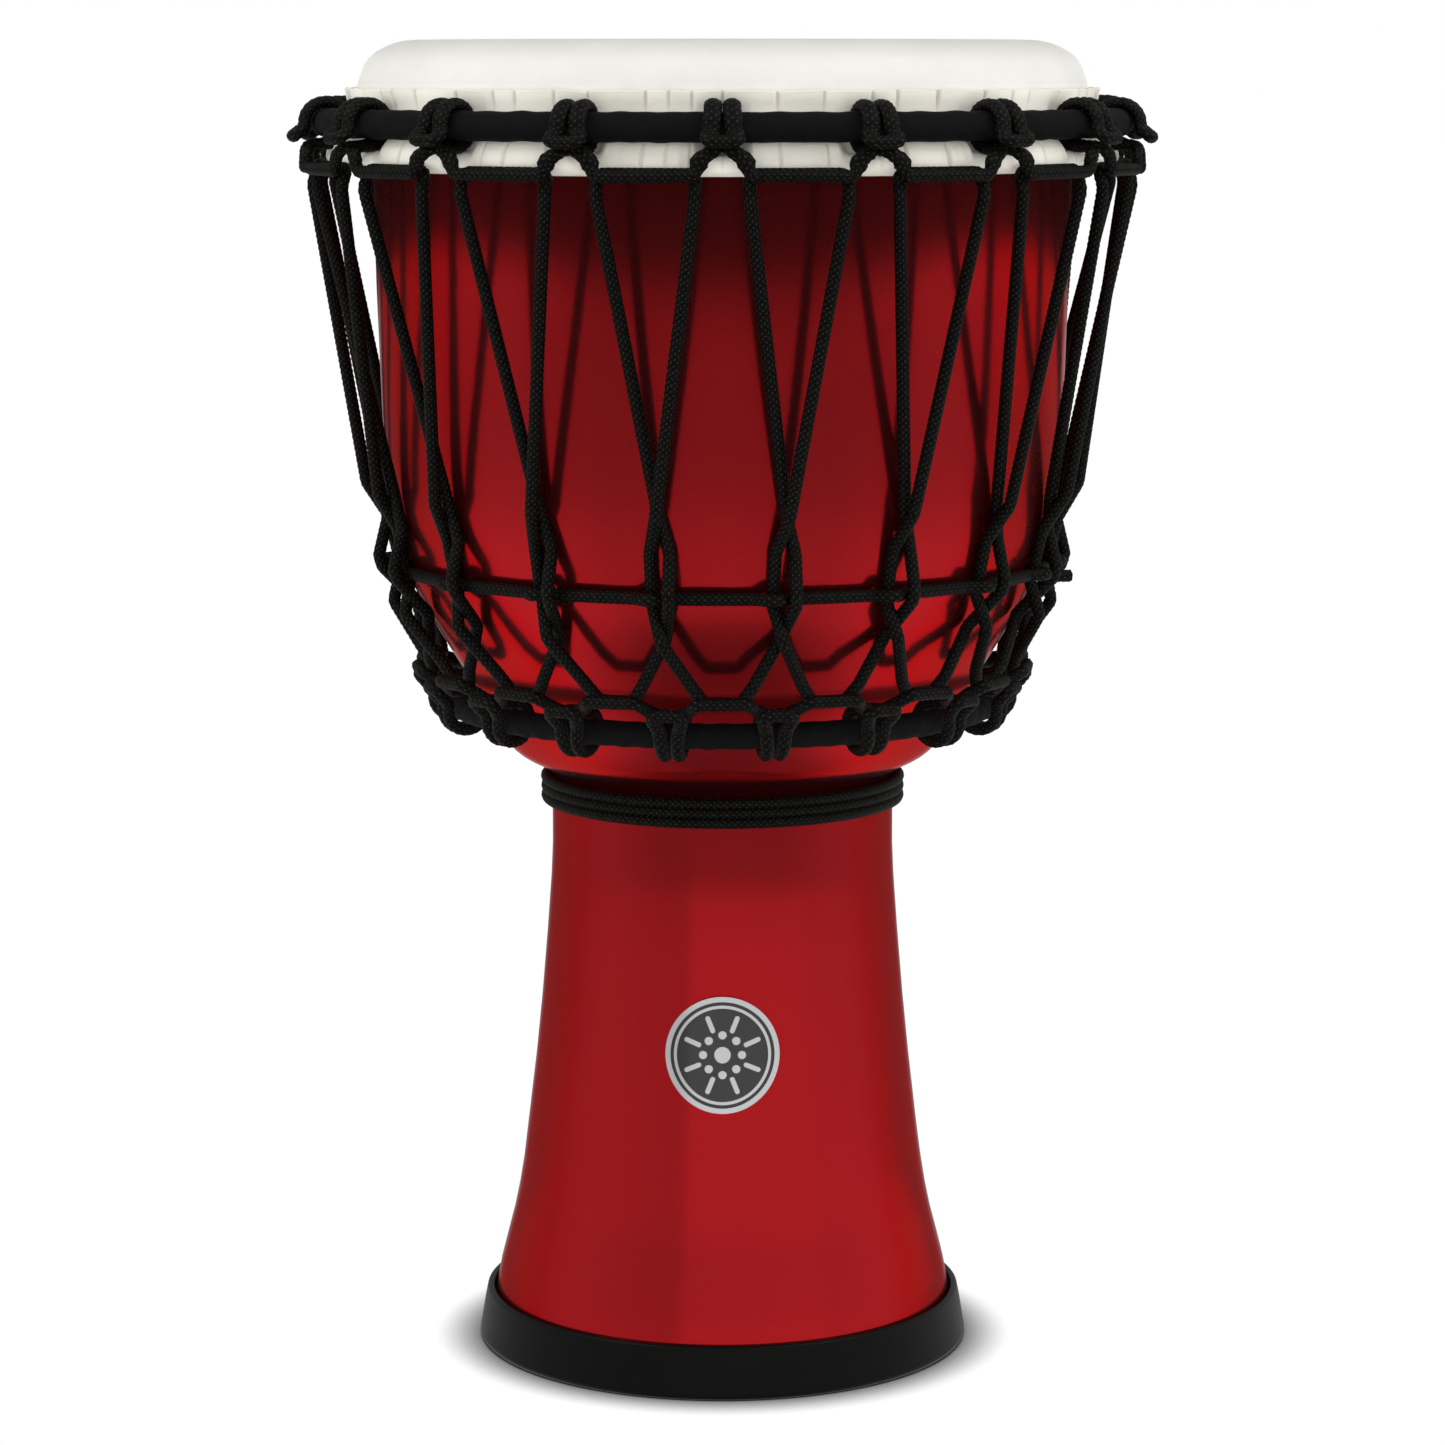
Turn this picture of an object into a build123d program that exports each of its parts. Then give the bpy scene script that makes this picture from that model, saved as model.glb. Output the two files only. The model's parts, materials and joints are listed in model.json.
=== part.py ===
from build123d import *
from bisect import bisect
from math import acos, cos, degrees, hypot, radians, sin, tan
import os

# A small rope-tuned djembe, standing on its foot with the drum axis on Z and the floor at Z = 0.
# Lengths are millimetres. Azimuth 0 faces -Y (the badge side) and grows towards +X.

# ---- driving dimensions
HEIGHT = 317.5            # floor to playing surface
HITCHES = 18              # loops around each ring
PITCH = 360 / HITCHES     # degrees between neighbouring loops
ROPE_R = 1.45             # braided cord, radius
WALL = 5.0                # shell wall
SKIN = 0.5                # head thickness

# outside of the shell as (radius, height), from the open bottom end to below the playing edge
SHELL_END = (57.0, 4.0)
STEM = [(54.4, 17.5), (51.3, 29.6), (47.5, 53.2), (44.9, 77.0), (42.9, 101.0), (41.8, 124.0)]
NECK = [(41.9, 134.0), (42.6, 138.4), (45.6, 140.5)]
BOWL = [(50.7, 143.3), (54.5, 147.6), (59.2, 156.0), (64.7, 165.0), (70.6, 174.5), (75.9, 184.0),
        (79.4, 194.0), (81.8, 206.0), (83.3, 221.0), (84.5, 244.0), (85.8, 281.0), (86.6, 292.0)]
RIM_R, RIM_Z = 88.9, 304.2        # widest point of the rolled playing edge
SHELL_END_SLOPE = (-0.27, 0, 1)

# head: a flat disc, a rolled edge, a collar, and a skirt folded back around the flesh ring
FLAT_R = 70.0             # radius of the flat playing surface
COLLAR_R = 90.2           # outside of the collar

# rings as (radius, height) of their centre lines
CROWN_R, CROWN_Z = 97.6, 297.5
CROWN_TUBE, CROWN_CORE = 3.5, 2.5
FLESH_R, FLESH_Z, FLESH_CORE = 94.2, 288.85, 2.0
BASE_RING_R, BASE_RING_Z = 66.3, 156.0
BASE_TUBE, BASE_CORE = 3.0, 2.1
CLEARANCE = 0.06          # between parts that lie on each other
SEAM_GAP = 0.3            # open seam of a fabric sleeve

# straight runs of the loops between neighbouring hitches
TOP_SPAN_R, TOP_SPAN_Z = 102.5, 286.5
BASE_SPAN_R, BASE_SPAN_Z = 75.0, 164.6
TOP_CORNER, BASE_CORNER = 6.3, 7.2  # from a hitch's middle to where the run begins
STRAND = 2.1              # from a hitch's middle to each strand over the ring

# the tension rope crosses itself in the columns between two hitches, and the tuning row runs between the crossings
CROSS_TOP_Z, ROW_Z, CROSS_BASE_Z = 208.5, 189.4, 179.3
EYE = 2.3                 # from a column's middle to each strand between the crossings
LIFT = ROPE_R + 0.15      # middle of a cord that lies on the shell
OVER = LIFT + 2 * ROPE_R + 0.1      # middle of a cord that passes over another
ARCH = 0.8                # a bend cuts its corner, so the corner stands this much higher than the cord
BEHIND_TOP = (99.3, 286.9)          # radius and height of the tension rope behind the top runs
BEHIND_BASE = (72.2, 165.7)         # and behind the bottom runs
ENDS_APART = 0.15         # degrees between the two ends of the tension rope, at the back
ROW_START = 90.0          # azimuth of the column where the tuning row begins and ends

SHORTEST_RUN = 1e-4       # arcs closer than this meet without a straight between them

# stem fittings
WRAP_R, WRAP_TURNS, WRAP_PITCH, WRAP_Z = 1.3, 3, 2.66, 131.9
WRAP_RISE = 3             # corners over which a turn steps up to the next
BADGE_R, BADGE_Z = 13.5, 77.7


# ---- helpers

def around(azimuth, radius, height):
    """A point at an azimuth in degrees, a radius and a height."""
    return Vector(radius * sin(radians(azimuth)), -radius * cos(radians(azimuth)), height)


def beside(azimuth, offset, radius, height):
    """A point a given arc length to one side of an azimuth."""
    return around(azimuth + degrees(offset / radius), radius, height)


def in_profile(radius, height):
    """A point of a half section, which is drawn in the XZ plane."""
    return Vector(radius, 0, height)


def bent_path(corners, closed=True):
    """Straight runs joined by arcs, from (point, bend radius) pairs. An open path's ends have no bend."""
    arcs = []
    for k in range(len(corners) if closed else len(corners) - 2):
        (before, _), (point, bend), (after, _) = [corners[(k + step) % len(corners)] for step in range(3)]
        back = (before - point).normalized()
        onward = (after - point).normalized()
        half = acos(back.dot(onward)) / 2
        reach = bend / tan(half)
        middle = point + (back + onward).normalized() * (bend / sin(half) - bend)
        arcs.append(ThreePointArc(point + back * reach, middle, point + onward * reach))
    edges = []
    at = arcs[-1] @ 1 if closed else corners[0][0]
    for arc in arcs:
        if (arc @ 0 - at).length > SHORTEST_RUN:
            edges.append(Line(at, arc @ 0))
        edges.append(arc)
        at = arc @ 1
    if not closed:
        edges.append(Line(at, corners[-1][0]))
    return Wire(edges)


def profile_path(corners, closed=True):
    """A bent path in the XZ plane, from (radius, height, bend radius)."""
    return bent_path([(in_profile(radius, height), bend) for radius, height, bend in corners], closed)


def parallel(corners, distance):
    """The corners of the open path that runs a fixed distance to the right of another."""
    shifted = []
    for k, (radius, height, bend) in enumerate(corners):
        before, after = corners[max(k - 1, 0)], corners[min(k + 1, len(corners) - 1)]
        way_in = Vector(radius - before[0], height - before[1])
        way_out = Vector(after[0] - radius, after[1] - height)
        way_in = (way_in if k > 0 else way_out).normalized()
        way_out = (way_out if k < len(corners) - 1 else way_in).normalized()
        right_in, right_out = Vector(way_in.Y, -way_in.X), Vector(way_out.Y, -way_out.X)
        shift = (right_in + right_out) * (distance / (1 + right_in.dot(right_out)))
        turns_left = way_in.cross(way_out).Z > 0
        shifted.append((radius + shift.X, height + shift.Y, bend + (distance if turns_left else -distance)))
    return shifted


def turned(outline):
    """A solid of revolution about the drum axis."""
    return revolve(make_face(outline), Axis.Z)


def cord(path, radius=ROPE_R):
    """A round cord along a path."""
    start = Plane(origin=path @ 0, z_dir=path % 0)
    return sweep(start * Circle(radius), path=path)


def repeated(unit):
    """The corners of one unit, repeated at every hitch."""
    corners = []
    for k in range(HITCHES):
        corners += [(point.rotate(Axis.Z, k * PITCH), bend) for point, bend in unit]
    return corners


# ---- shell and foot

outer_wall = Spline(*[in_profile(*point) for point in [SHELL_END, *STEM, *NECK, *BOWL, (RIM_R, RIM_Z)]],
                    tangents=(SHELL_END_SLOPE, (0, 0, 1)))
SAMPLES = 600             # of the wall's profile, for looking up its radius
INNER_POINTS = 44         # of the inside of the wall
wall_points = [outer_wall @ (k / SAMPLES) for k in range(SAMPLES + 1)]
wall_heights = [point.Z for point in wall_points]


def shell_radius(height):
    """Outside radius of the shell at a height."""
    k = min(max(bisect(wall_heights, height), 1), SAMPLES)
    low, high = wall_points[k - 1], wall_points[k]
    return low.X + (high.X - low.X) * (height - low.Z) / (high.Z - low.Z)


def off_shell(height, lift):
    """Radius of a point that stands a given distance off the shell's surface."""
    slope = shell_radius(height + 0.5) - shell_radius(height - 0.5)
    return shell_radius(height) + lift * hypot(1, slope)


def make_shell():
    """The wall and its playing edge, which rolls inwards under the head."""
    edge = [(RIM_R, RIM_Z, 0), (RIM_R, 307.0, 8), (86.7, 312.9, 8), (79.8, 316.8, 16), (73.0, 316.8, 0)]
    outer_edge = profile_path(edge, closed=False)
    inner_edge = profile_path(parallel(edge, -WALL), closed=False)
    inner = []
    for k in range(INNER_POINTS):
        outward = (outer_wall % (k / INNER_POINTS)).cross(Vector(0, 1, 0))
        inner.append(outer_wall @ (k / INNER_POINTS) + outward * WALL)
    inner_wall = Spline(*inner, inner_edge @ 0, tangents=(SHELL_END_SLOPE, (0, 0, 1)))
    nose = Line(outer_edge @ 1, inner_edge @ 1)
    end = Line(inner_wall @ 0, outer_wall @ 0)
    return turned([outer_wall, *outer_edge.edges(), nose, *inner_edge.edges(), inner_wall, end])


def make_foot_ring():
    """A rubber ring that takes the shell's open bottom end in a groove."""
    return turned(profile_path([
        (48.8, 0.0, 1.0), (59.7, 0.0, 1.2), (58.3, 8.5, 30.0), (57.6, 12.1, 0.8), (55.8, 12.1, 0.6),
        (57.4, 2.3, 0.3), (51.6, 2.3, 0.3), (50.1, 11.2, 0.5), (48.1, 11.2, 0.8),
    ]))


# ---- head and rings

def make_drum_head():
    """The skin: flat, over the edge, down as a collar, round the flesh ring and back up as a skirt."""
    near, far = FLESH_R - FLESH_CORE - CLEARANCE, FLESH_R + FLESH_CORE + CLEARANCE
    under, over = FLESH_Z - FLESH_CORE - CLEARANCE, FLESH_Z + FLESH_CORE + CLEARANCE
    around_ring = FLESH_CORE + CLEARANCE
    skirt = COLLAR_R + 0.2
    outside = [
        (FLAT_R, HEIGHT, 0), (80.1, HEIGHT, 16), (87.4, 313.4, 8), (COLLAR_R, 305.5, 18),
        (COLLAR_R, 292.6, 4), (near, 289.6, 1.4), (near, under, around_ring), (far, under, around_ring),
        (far, over, around_ring), (92.2, over, 1.1), (skirt, 292.9, 2.5), (skirt, 301.4, 3), (91.7, 305.0, 0),
    ]
    near_side = profile_path(outside, closed=False)
    far_side = profile_path(parallel(outside, SKIN), closed=False)
    ends = [Line(near_side @ t, far_side @ t) for t in (0, 1)]
    flat = Pos(0, 0, HEIGHT - SKIN / 2) * Cylinder(FLAT_R, SKIN)
    return flat + turned([*near_side.edges(), *far_side.edges(), *ends])


def make_ring(radius, height, tube):
    return revolve(Plane.XZ * Pos(radius, height) * Circle(tube), Axis.Z)


def make_sleeve(radius, height, tube, core, seam_angle):
    """A fabric tube around a ring, closed by a seam."""
    section = Circle(tube) - Circle(core + CLEARANCE)
    section -= Rot(0, 0, seam_angle) * Pos(tube, 0) * Rectangle(2 * tube, SEAM_GAP)
    return revolve(Plane.XZ * Pos(radius, height) * section, Axis.Z)


# ---- cords: the corners of one unit, which repeats at every hitch

def hitch(half):
    """Both halves of a hitch at azimuth 0, from (offset, radius, height, bend) of its right half."""
    left = [(beside(0, -offset, radius, height), bend) for offset, radius, height, bend in reversed(half)]
    right = [(beside(0, offset, radius, height), bend) for offset, radius, height, bend in half]
    return left + right


def make_top_loop_rope():
    """A cow hitch over the crown ring, its legs, and a straight run to the next hitch."""
    orbit = CROWN_TUBE + ROPE_R + CLEARANCE
    unit = hitch([
        (4.9, 105.7, 294.2, 1.55),
        (3.0, 102.9, 296.1, 2.1),
        (STRAND, CROWN_R + orbit, CROWN_Z + orbit, orbit),
        (STRAND, CROWN_R - orbit, CROWN_Z + orbit, orbit),
        (STRAND, CROWN_R - orbit, CROWN_Z - orbit, orbit),
        (2.0, 101.8, 292.2, 1.8),
        (4.9, 102.6, 290.1, 2.6),
        (TOP_CORNER, TOP_SPAN_R, TOP_SPAN_Z, 1.6),
    ])
    return cord(bent_path(repeated([*unit, (around(PITCH / 2, TOP_SPAN_R, TOP_SPAN_Z), 9.0)])))


def make_bottom_loop_rope():
    """The same hitch the other way up, around the bottom ring and half a pitch further on."""
    orbit = BASE_TUBE + ROPE_R + CLEARANCE
    unit = hitch([
        (4.0, 74.7, 161.7, 1.55),
        (2.8, 71.1, 157.8, 2.3),
        (STRAND, BASE_RING_R + orbit, BASE_RING_Z - orbit, orbit),
        (STRAND, BASE_RING_R - orbit, BASE_RING_Z - orbit, orbit),
        (STRAND, BASE_RING_R - orbit, BASE_RING_Z + orbit, orbit),
        (STRAND, 70.9, 161.2, 1.8),
        (5.4, 72.4, 162.9, 2.0),
        (BASE_CORNER, BASE_SPAN_R, BASE_SPAN_Z, 1.6),
    ])
    path = bent_path(repeated([*unit, (around(PITCH / 2, BASE_SPAN_R, BASE_SPAN_Z), 9.0)]))
    return Rot(0, 0, PITCH / 2) * cord(path)


def half_zigzag(side):
    """Corners from a top run down to the middle of a bottom run, on one side of a column at azimuth 0.

    side is 1 for the strand that crosses in front and goes left, and -1 for the one behind, mirrored.
    """
    front = OVER + ARCH if side == 1 else LIFT
    front_base = OVER + 2.4 * ARCH if side == 1 else LIFT
    at_row = LIFT if side == 1 else OVER + 1.4 * ARCH
    top = side * PITCH / 2
    return [
        (around(0, *BEHIND_TOP), 9.0),
        (beside(top, -side * 6.2, *BEHIND_TOP), 1.7),
        (beside(top, -side * 6.1, 100.6, 282.4), 5.0),
        (around(0, off_shell(CROSS_TOP_Z, front + 0.1), CROSS_TOP_Z), 4.0),
        (beside(0, -side * EYE, off_shell(200.0, LIFT), 200.0), 3.0),
        (beside(0, -side * EYE, off_shell(ROW_Z + 1.4, at_row), ROW_Z + 1.4), 2.0),
        (beside(0, -side * EYE, off_shell(ROW_Z - 1.4, at_row), ROW_Z - 1.4), 2.0),
        (around(0, off_shell(CROSS_BASE_Z, front_base), CROSS_BASE_Z), 3.0),
        (beside(0, side * 5.9, 73.6, 168.2), 1.8),
        (beside(0, side * 8.4, *BEHIND_BASE), 1.7),
        (around(side * PITCH / 2, *BEHIND_BASE), 9.0),
    ]


def make_tension_rope():
    """One cord that zigzags between the top and bottom loops and crosses itself twice in each column."""
    down = half_zigzag(1)
    up = [(point.rotate(Axis.Z, PITCH), bend) for point, bend in half_zigzag(-1)[-2:0:-1]]
    corners = repeated(down + up)
    start, bend = corners[0]
    corners.append((start.rotate(Axis.Z, -ENDS_APART), bend))
    return Rot(0, 0, 180 - PITCH / 2) * cord(bent_path(corners, closed=False))


def make_tuning_row_rope():
    """A cord woven over the left strand and under the right strand of every column."""
    corners = []
    for k in range(HITCHES):
        column = ROW_START + (k + 0.5) * PITCH - PITCH / 2
        for offset, lift in ((-6.5, LIFT + 0.15), (-EYE, OVER + 1.5 * ARCH), (EYE, LIFT), (6.5, LIFT + 0.15),
                             (11.0, LIFT + 0.15)):
            corners.append((beside(column, offset, off_shell(ROW_Z, lift), ROW_Z), 2.2))
    corners[0] = (corners[0][0], 0)
    end = ROW_START + 360
    corners += [(beside(end, -7.5, off_shell(ROW_Z, LIFT + 0.3), ROW_Z - 3.2), 3.0),
                (beside(end, -5.0, off_shell(ROW_Z, 7.0), ROW_Z - 3.4), 0)]
    return cord(bent_path(corners, closed=False))


def snug(height, radius):
    """Where the middle of a cord that lies against the shell is, at a height."""
    reaches = []
    for angle in range(-90, 91, 10):
        reaches.append(shell_radius(height + radius * sin(radians(angle))) + radius * cos(radians(angle)))
    return max(reaches) + CLEARANCE


def make_neck_wrap_rope():
    """Flat turns around the neck that step up at the back."""
    step = 15
    turn = 360 // step
    corners = []
    for k in range(WRAP_TURNS * turn - 1):
        rise = max(0, k % turn + WRAP_RISE - turn) / WRAP_RISE
        height = WRAP_Z + (k // turn + rise) * WRAP_PITCH
        radius = snug(height, WRAP_R) / cos(radians(step / 2))
        corners.append((around(180 + k * step, radius, height), radius * 0.88))
    return cord(bent_path(corners, closed=False), WRAP_R)


# ---- badge, curved to the stem

def stem_layer(sketch, low, high):
    """A sketch on the front of the stem as a curved plate between two distances off the wall."""
    heights = [BADGE_Z + step * BADGE_R * 0.4 for step in range(-3, 4)]
    inner = Spline(*[in_profile(off_shell(z, low), z) for z in heights])
    outer = Spline(*[in_profile(off_shell(z, high), z) for z in heights])
    layer = turned([inner, Line(inner @ 1, outer @ 1), outer, Line(outer @ 0, inner @ 0)])
    return layer & extrude(Plane.XZ * Pos(0, BADGE_Z) * sketch, SHELL_END[0])


def ornament(grow=0.0):
    """A generic rosette: a boss, a ring of dots and a ring of short rays."""
    pattern = Circle(1.9 + grow)
    for k in range(8):
        pattern += Rot(0, 0, k * 45) * Pos(0, 4.6) * Circle(0.95 + grow)
        pattern += Rot(0, 0, k * 45 + 22.5) * Pos(0, 7.6) * SlotOverall(4.2 + 2 * grow, 1.1 + 2 * grow, rotation=90)
    return pattern


def make_badge_casting():
    rims = Circle(BADGE_R) - Circle(12.3) + (Circle(11.5) - Circle(10.8))
    return (stem_layer(Circle(BADGE_R), 0.34, 1.0)
            + stem_layer(rims, 0.95, 1.6)
            + stem_layer(ornament(), 0.95, 1.5))


def make_badge_enamel():
    gap = CLEARANCE
    fill = Circle(12.3 - gap) - Circle(11.5 + gap) + (Circle(10.8 - gap) - ornament(gap))
    return stem_layer(fill, 1.0 + gap, 1.3)


def make_badge_adhesive():
    return stem_layer(Circle(BADGE_R - 0.8), 0.03, 0.31)


# ---- the nodes

nodes = {
    "shell": make_shell,
    "foot_ring": make_foot_ring,
    "drum_head": make_drum_head,
    "flesh_ring": lambda: make_ring(FLESH_R, FLESH_Z, FLESH_CORE),
    "crown_ring_core": lambda: make_ring(CROWN_R, CROWN_Z, CROWN_CORE),
    "crown_ring_sleeve": lambda: make_sleeve(CROWN_R, CROWN_Z, CROWN_TUBE, CROWN_CORE, 225),
    "bottom_ring_core": lambda: make_ring(BASE_RING_R, BASE_RING_Z, BASE_CORE),
    "bottom_ring_sleeve": lambda: make_sleeve(BASE_RING_R, BASE_RING_Z, BASE_TUBE, BASE_CORE, 150),
    "top_loop_rope": make_top_loop_rope,
    "bottom_loop_rope": make_bottom_loop_rope,
    "tension_rope": make_tension_rope,
    "tuning_row_rope": make_tuning_row_rope,
    "neck_wrap_rope": make_neck_wrap_rope,
    "badge_casting": make_badge_casting,
    "badge_enamel": make_badge_enamel,
    "badge_adhesive": make_badge_adhesive,
}

os.makedirs("parts", exist_ok=True)
for name, make in nodes.items():
    export_step(make(), f"parts/{name}.step")
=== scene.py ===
import json
from math import acos, ceil, cos, degrees, hypot, pi, radians, sin, tan

import bpy
import numpy as np
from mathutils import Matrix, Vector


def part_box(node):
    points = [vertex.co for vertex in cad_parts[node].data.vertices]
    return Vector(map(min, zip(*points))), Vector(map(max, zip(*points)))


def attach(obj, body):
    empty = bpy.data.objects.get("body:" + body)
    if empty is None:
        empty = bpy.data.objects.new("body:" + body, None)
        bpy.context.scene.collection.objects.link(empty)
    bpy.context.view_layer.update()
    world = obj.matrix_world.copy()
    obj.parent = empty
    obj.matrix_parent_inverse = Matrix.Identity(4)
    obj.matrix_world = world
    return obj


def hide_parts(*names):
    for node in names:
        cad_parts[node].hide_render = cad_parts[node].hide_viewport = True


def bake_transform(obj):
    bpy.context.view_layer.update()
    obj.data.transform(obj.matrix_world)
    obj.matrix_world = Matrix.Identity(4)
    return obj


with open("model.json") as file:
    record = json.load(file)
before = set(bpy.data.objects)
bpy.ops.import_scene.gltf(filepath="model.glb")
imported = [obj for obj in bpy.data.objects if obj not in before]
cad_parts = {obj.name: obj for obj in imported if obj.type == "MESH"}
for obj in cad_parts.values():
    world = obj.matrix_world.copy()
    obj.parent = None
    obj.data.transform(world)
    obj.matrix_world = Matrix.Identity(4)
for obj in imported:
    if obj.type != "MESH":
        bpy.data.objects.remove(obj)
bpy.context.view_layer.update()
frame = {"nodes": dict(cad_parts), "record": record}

# Shapes are worked out in millimetres around the drum axis, and become metres when a mesh is made.
# Azimuth 0 faces -Y (the badge side) and grows towards +X.
MM = 0.001


# ---- the frame

def node_box(node):
    low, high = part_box(node)
    return np.array(low) / MM, np.array(high) / MM


def ring_of(node):
    """Centre line radius, height and tube radius of a ring node."""
    low, high = node_box(node)
    tube = (high[2] - low[2]) / 2
    return high[0] - tube, (low[2] + high[2]) / 2, tube


def wall_profile():
    """Heights and radii of the outside of the shell, from its mesh."""
    mesh = frame["nodes"]["shell"].data
    places = np.zeros(len(mesh.vertices) * 3, np.float32)
    mesh.vertices.foreach_get("co", places)
    places = places.reshape(-1, 3) / MM
    facing = np.zeros(len(mesh.vertices) * 3, np.float32)
    mesh.vertex_normals.foreach_get("vector", facing)
    facing = facing.reshape(-1, 3)
    radii = np.hypot(places[:, 0], places[:, 1])
    outward = (places[:, 0] * facing[:, 0] + places[:, 1] * facing[:, 1]) / radii > 0.2
    order = np.argsort(places[outward, 2])
    return places[outward, 2][order], radii[outward][order]


WALL_HEIGHTS, WALL_RADII = wall_profile()
HEIGHT = node_box("drum_head")[1][2]
CROWN_R, CROWN_Z, CROWN_TUBE = ring_of("crown_ring_sleeve")
FLESH_R, FLESH_Z, FLESH_TUBE = ring_of("flesh_ring")
BASE_R, BASE_Z, BASE_TUBE = ring_of("bottom_ring_sleeve")
ROPE_R = (node_box("top_loop_rope")[1][2] - CROWN_Z - CROWN_TUBE) / 2
HITCHES = 18
PITCH = 360 / HITCHES
CLEAR = 0.06              # millimetres between parts that lie on each other
SKIN = 0.5                # thickness of the head
COLLAR = 90.2             # outside radius of the head below its rolled edge
SKIRT_TOP = 305.7         # height of the skirt's trimmed edge
NEAR = FLESH_R - FLESH_TUBE - CLEAR  # the skin's inner face on each side of the flesh ring
FAR = FLESH_R + FLESH_TUBE + CLEAR
UNDER = FLESH_Z - FLESH_TUBE - CLEAR
ABOVE = FLESH_Z + FLESH_TUBE + CLEAR


# ---- geometry helpers

def around(azimuth, radius, height):
    return np.array([radius * sin(radians(azimuth)), -radius * cos(radians(azimuth)), height])


def beside(azimuth, offset, radius, height):
    """A point a given arc length to one side of an azimuth."""
    return around(azimuth + degrees(offset / radius), radius, height)


def turned_by(point, angle):
    c, s = cos(radians(angle)), sin(radians(angle))
    return np.array([c * point[0] - s * point[1], s * point[0] + c * point[1], point[2]])


def unit(vector):
    return vector / np.linalg.norm(vector)


def wall_radius(height):
    return float(np.interp(height, WALL_HEIGHTS, WALL_RADII))


def off_wall(height, lift):
    slope = wall_radius(height + 0.5) - wall_radius(height - 0.5)
    return wall_radius(height) + lift * hypot(1, slope)


def bent_path(corners, closed=True):
    """Points along straight runs joined by arcs, from (point, bend radius, flatness) corners.

    Returns the points and the flatness at each of them."""
    count = len(corners)
    points, flats = [], []
    if not closed:
        points.append(corners[0][0])
        flats.append(corners[0][2])
    for k in range(0 if closed else 1, count if closed else count - 1):
        point, bend, flat = corners[k]
        back = unit(corners[k - 1][0] - point)
        onward = unit(corners[(k + 1) % count][0] - point)
        half = acos(max(-1.0, min(1.0, float(back @ onward)))) / 2
        turn = pi - 2 * half
        if turn < 1e-4 or bend <= 0:
            points.append(point)
            flats.append(flat)
            continue
        start = point + back * bend / tan(half)
        centre = point + unit(back + onward) * bend / sin(half)
        steps = max(2, ceil(turn / radians(7)))
        for step in range(steps + 1):
            t = turn * step / steps
            points.append(centre + (start - centre) * cos(t) - back * bend * sin(t))
            flats.append(flat)
    if closed:
        points.append(points[0])
        flats.append(flats[0])
    else:
        points.append(corners[-1][0])
        flats.append(corners[-1][2])
    return np.array(points), np.array(flats, float)


def spaced(points, values, spacing, closed, multiple=1):
    """The same path and values at even steps of about the given spacing."""
    lengths = np.concatenate([[0], np.cumsum(np.linalg.norm(np.diff(points, axis=0), axis=1))])
    steps = max(multiple, round(lengths[-1] / spacing / multiple) * multiple)
    at = np.linspace(0, lengths[-1], steps + 1)
    if closed:
        at = at[:-1]
    even = np.stack([np.interp(at, lengths, points[:, axis]) for axis in range(3)], 1)
    return even, np.interp(at, lengths, values), lengths[-1], steps


def carried_frames(points, closed):
    """Tangent, normal and side at each point of a path, without twist."""
    if closed:
        tangents = np.roll(points, -1, 0) - np.roll(points, 1, 0)
    else:
        tangents = np.gradient(points, axis=0)
    tangents /= np.linalg.norm(tangents, axis=1)[:, None]
    normals = np.zeros_like(points)
    normal = unit(np.cross(tangents[0], (0.3, 0.2, 0.93)))
    for k, tangent in enumerate(tangents):
        normal = unit(normal - tangent * (normal @ tangent))
        normals[k] = normal
    if closed:
        last = unit(normal - tangents[0] * (normal @ tangents[0]))
        side = np.cross(tangents[0], normals[0])
        twist = np.arctan2(last @ side, last @ normals[0])
        angles = -twist * np.arange(len(points)) / len(points)
        sides = np.cross(tangents, normals)
        normals = normals * np.cos(angles)[:, None] + sides * np.sin(angles)[:, None]
    return tangents, normals, np.cross(tangents, normals)


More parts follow.
